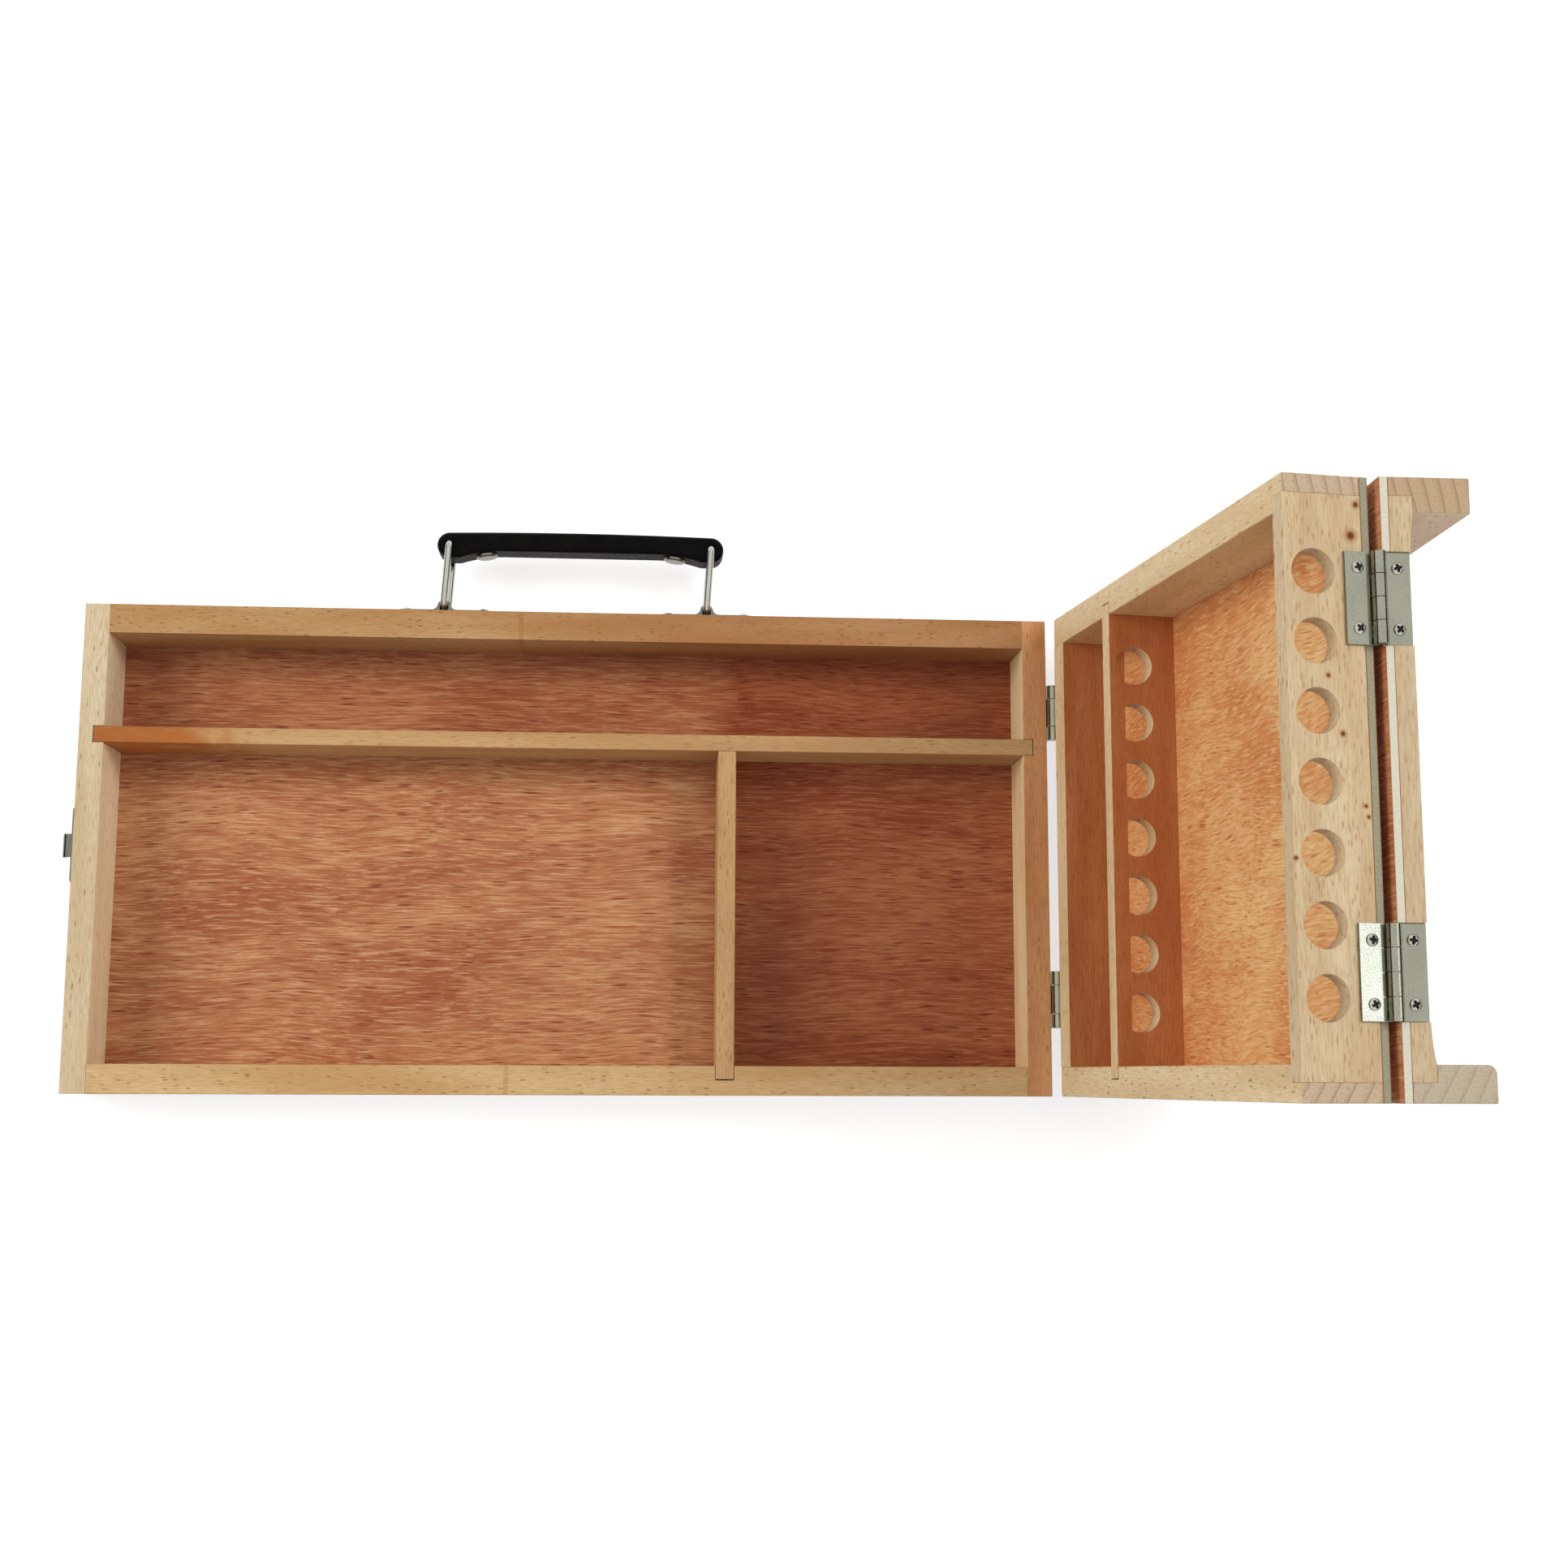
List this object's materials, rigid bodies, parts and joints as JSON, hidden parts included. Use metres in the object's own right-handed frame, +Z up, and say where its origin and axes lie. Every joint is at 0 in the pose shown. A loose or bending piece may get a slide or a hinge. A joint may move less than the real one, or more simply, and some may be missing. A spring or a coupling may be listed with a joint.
{
  "type": "art supply box",
  "caption": "Wooden art supply box lying open: a divided main tray, a hinged brush tray drilled for brush handles, a cover tray folded back, a leather grip on wire bails and a toggle latch.",
  "frame": {"origin": "centre of the underside of the main tray's base panel", "axes": "+X along the box towards the lid hinges, +Y towards the handle, +Z up from the surface it lies on"},
  "size_m": [0.5016, 0.2355, 0.2474],
  "materials": {
    "beech": "sanded, clear satin",
    "plywood": "sanded, reddish face veneer",
    "nickel": "bright plated steel",
    "leather": "black satin"
  },
  "bodies": {
    "main_tray": {"cross_divider": "beech", "handle_saddle_left": "nickel", "handle_saddle_right": "nickel", "handle_saddle_screws": "nickel", "latch_keeper": "nickel", "latch_keeper_screws": "nickel", "lid_hinge_far_main_leaf": "nickel", "lid_hinge_far_pin": "nickel", "lid_hinge_main_screws": "nickel", "lid_hinge_near_main_leaf": "nickel", "lid_hinge_near_pin": "nickel", "long_divider": "beech", "main_base_panel": "plywood", "main_handle_side": "beech", "main_hinge_end": "beech", "main_latch_end": "beech", "main_near_side": "beech"},
    "brush_tray": {"brush_back_panel": "plywood", "brush_divider": "beech", "brush_end_wall": "beech", "brush_handle_side": "beech", "brush_hinge_end": "beech", "brush_near_side": "beech", "cover_hinge_brush_screws": "nickel", "cover_hinge_far_brush_leaf": "nickel", "cover_hinge_far_pin": "nickel", "cover_hinge_near_brush_leaf": "nickel", "cover_hinge_near_pin": "nickel", "lid_hinge_far_lid_leaf": "nickel", "lid_hinge_lid_screws": "nickel", "lid_hinge_near_lid_leaf": "nickel"},
    "cover_tray": {"cover_back_panel": "plywood", "cover_handle_side": "beech", "cover_hinge_cover_screws": "nickel", "cover_hinge_far_cover_leaf": "nickel", "cover_hinge_near_cover_leaf": "nickel", "cover_hinge_rail": "beech", "cover_latch_end": "beech", "cover_near_side": "beech", "latch_lever_pin": "nickel", "latch_plate": "nickel", "latch_plate_screws": "nickel"},
    "left_bail": {"handle_bail_left": "nickel"},
    "right_bail": {"handle_bail_right": "nickel"},
    "grip": {"grip_rivet_left": "nickel", "grip_rivet_right": "nickel", "handle_grip": "leather"},
    "latch_lever": {"latch_lever": "nickel"},
    "latch_loop": {"latch_loop": "nickel"}
  },
  "joints": [
    {"name": "lid_hinge", "type": "hinge", "parent": "main_tray", "child": "brush_tray", "pos_m": [0.2027, 0, 0.03115], "axis": [0, 1, 0], "range_deg": [-98, 22]},
    {"name": "cover_hinge", "type": "hinge", "parent": "brush_tray", "child": "cover_tray", "pos_m": [0.26462, 0, 0.24501], "axis": [0, 1, 0], "range_deg": [-172, 8]},
    {"name": "left_bail_swing", "type": "hinge", "parent": "main_tray", "child": "left_bail", "pos_m": [-0.054, 0.1026, 0.021], "axis": [0, 0, -1], "range_deg": [-68.5, 61.5]},
    {"name": "right_bail_swing", "type": "hinge", "parent": "main_tray", "child": "right_bail", "pos_m": [0.056, 0.1026, 0.021], "axis": [0, 0, -1], "range_deg": [-68.5, 61.5]},
    {"name": "grip_pivot", "type": "hinge", "parent": "left_bail", "child": "grip", "pos_m": [-0.05236, 0.12935, 0.021], "axis": [0, 0, -1], "range_deg": [-61.5, 68.5]},
    {"name": "latch_lever_swing", "type": "hinge", "parent": "cover_tray", "child": "latch_lever", "pos_m": [0.28902, 0, 0.05841], "axis": [0, -1, 0], "range_deg": [-88, 14]},
    {"name": "latch_loop_swing", "type": "hinge", "parent": "latch_lever", "child": "latch_loop", "pos_m": [0.28787, 0, 0.05415], "axis": [0, -1, 0], "range_deg": [-26.6, 167.2]}
  ],
  "couplings": [
    {"joint": "right_bail_swing", "follows": "left_bail_swing", "ratio": 1},
    {"joint": "grip_pivot", "follows": "left_bail_swing", "ratio": -1},
    {"joint": "latch_loop_swing", "follows": "latch_lever_swing", "ratio": -1.9}
  ]
}
